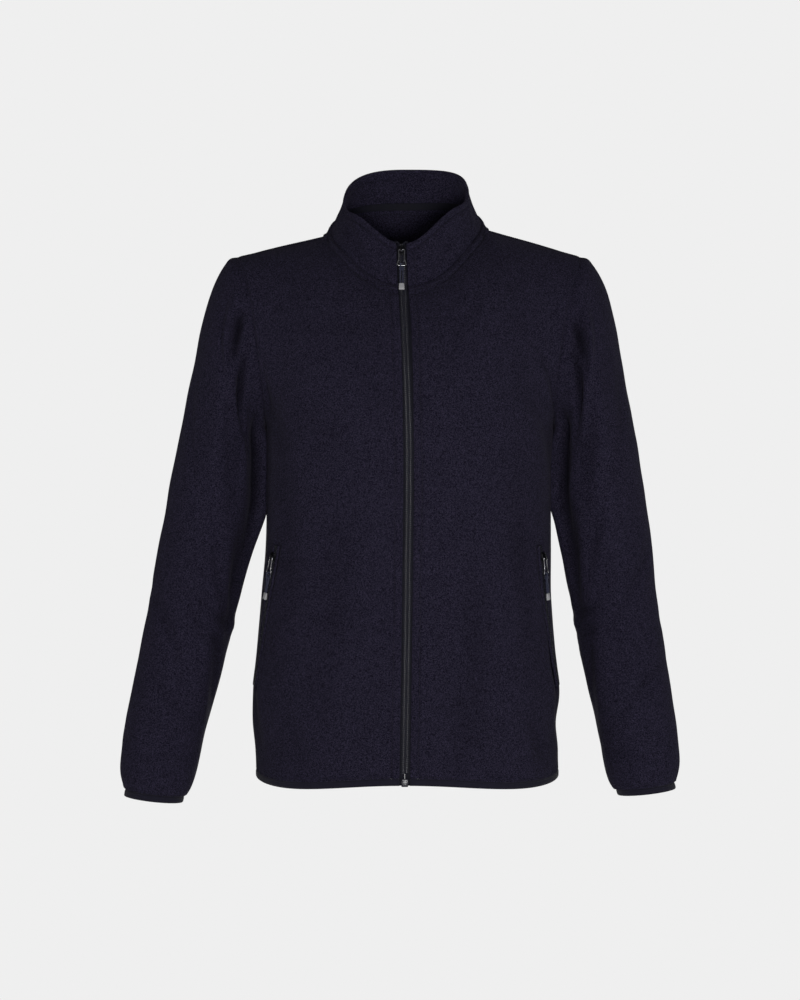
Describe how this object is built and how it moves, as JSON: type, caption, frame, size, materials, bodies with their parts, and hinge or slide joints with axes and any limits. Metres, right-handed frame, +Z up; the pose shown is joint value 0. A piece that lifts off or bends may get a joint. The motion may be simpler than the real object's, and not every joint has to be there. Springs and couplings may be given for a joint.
{
  "type": "fleece zip jacket",
  "caption": "Women's fitted fleece jacket with a stand collar, set-in long sleeves, a full front zip and zipped slot pockets, filled out as if worn.",
  "frame": {"origin": "middle of the neck opening, level with the highest points of the shoulders", "axes": "+Z up along the wearer's back, -Y out of the front with the zip, +X to the wearer's left"},
  "size_m": [0.6444, 0.2546, 0.7417],
  "materials": {
    "fleece": "very dark navy micro-fleece, matt with a short nap",
    "binding": "dark navy knitted elastic, matt",
    "zip_tape": "dark navy woven tape",
    "zip_coil": "dark navy moulded nylon coil, satin",
    "dark_metal": "dark lacquered metal, satin",
    "bright_metal": "bright plated wire",
    "puller_cord": "navy braided cord",
    "puller_tip": "pale grey moulded plastic, satin"
  },
  "bodies": {
    "jacket": {"back": "fleece", "collar": "fleece", "cuff_binding_left": "binding", "cuff_binding_right": "binding", "front_left": "fleece", "front_right": "fleece", "front_slider": "dark_metal", "hem_binding": "binding", "neck_tape": "zip_tape", "pocket_left_coil": "zip_coil", "pocket_left_slider": "dark_metal", "pocket_left_tape": "zip_tape", "pocket_right_coil": "zip_coil", "pocket_right_slider": "dark_metal", "pocket_right_tape": "zip_tape", "sleeve_left": "fleece", "sleeve_right": "fleece", "zip_box": "dark_metal", "zip_coil_left": "zip_coil", "zip_coil_right": "zip_coil", "zip_tape_left": "zip_tape", "zip_tape_right": "zip_tape"},
    "front_pull": {"front_bail": "bright_metal", "front_cord": "puller_cord", "front_tip": "puller_tip"},
    "pocket_left_pull": {"pocket_left_bail": "bright_metal", "pocket_left_cord": "puller_cord", "pocket_left_tip": "puller_tip"},
    "pocket_right_pull": {"pocket_right_bail": "bright_metal", "pocket_right_cord": "puller_cord", "pocket_right_tip": "puller_tip"}
  },
  "joints": [
    {"name": "front_pull_hinge", "type": "hinge", "parent": "jacket", "child": "front_pull", "pos_m": [-0.00519, -0.06813, -0.02542], "axis": [-1, 0, 0], "range_deg": [0, 160]},
    {"name": "pocket_left_pull_hinge", "type": "hinge", "parent": "jacket", "child": "pocket_left_pull", "pos_m": [0.15918, -0.0613, -0.37757], "axis": [-0.5022, -0.8421, -0.1965], "range_deg": [0, 150]},
    {"name": "pocket_right_pull_hinge", "type": "hinge", "parent": "jacket", "child": "pocket_right_pull", "pos_m": [-0.1546, -0.06175, -0.37724], "axis": [-0.4811, 0.8449, 0.234], "range_deg": [0, 150]}
  ]
}
